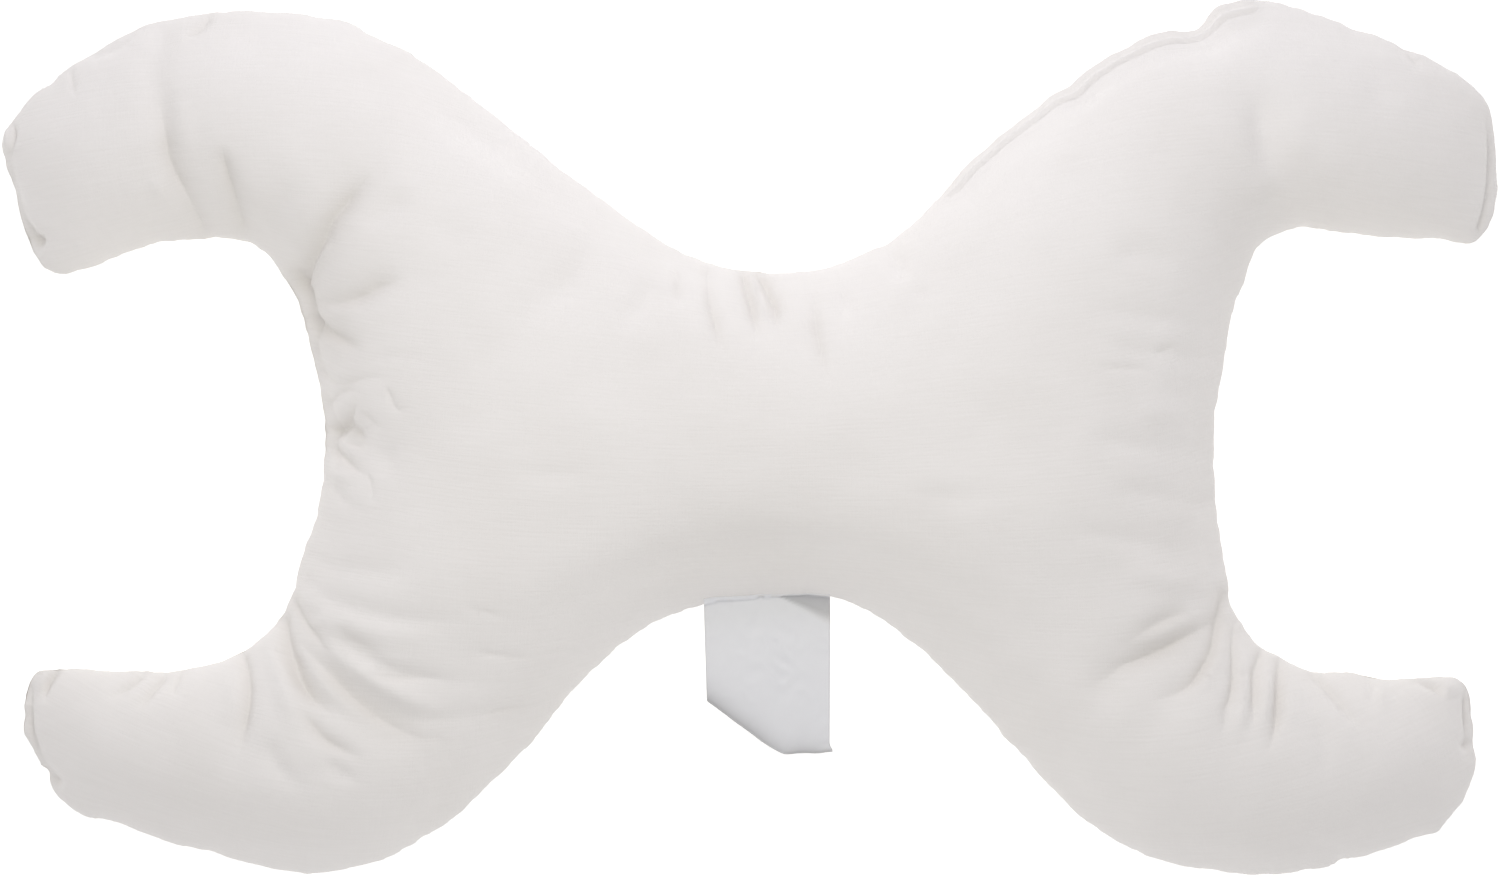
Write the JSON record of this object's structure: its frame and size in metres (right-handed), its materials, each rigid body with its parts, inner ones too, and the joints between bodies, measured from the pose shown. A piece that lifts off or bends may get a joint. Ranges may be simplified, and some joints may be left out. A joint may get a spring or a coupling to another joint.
{
  "type": "anti-wrinkle pillow",
  "caption": "Filled white cotton pillow shaped like a butterfly, with hooked arms, a face hollow at each side, an arch at top and bottom and a bare care label.",
  "frame": {"origin": "under the middle of the pillow's outline box, on the surface that it lies on", "axes": "+X along the pillow's long side, to its right seen from the front; +Y to the pillow's top; +Z out of its face"},
  "size_m": [0.686, 0.4, 0.0918],
  "materials": {
    "cotton": "plain woven white cotton, soft and matt",
    "label_ribbon": "woven satin ribbon, pale grey with a faint sheen"
  },
  "bodies": {
    "root": {"pillow": "cotton", "care_label": "label_ribbon"}
  },
  "joints": []
}
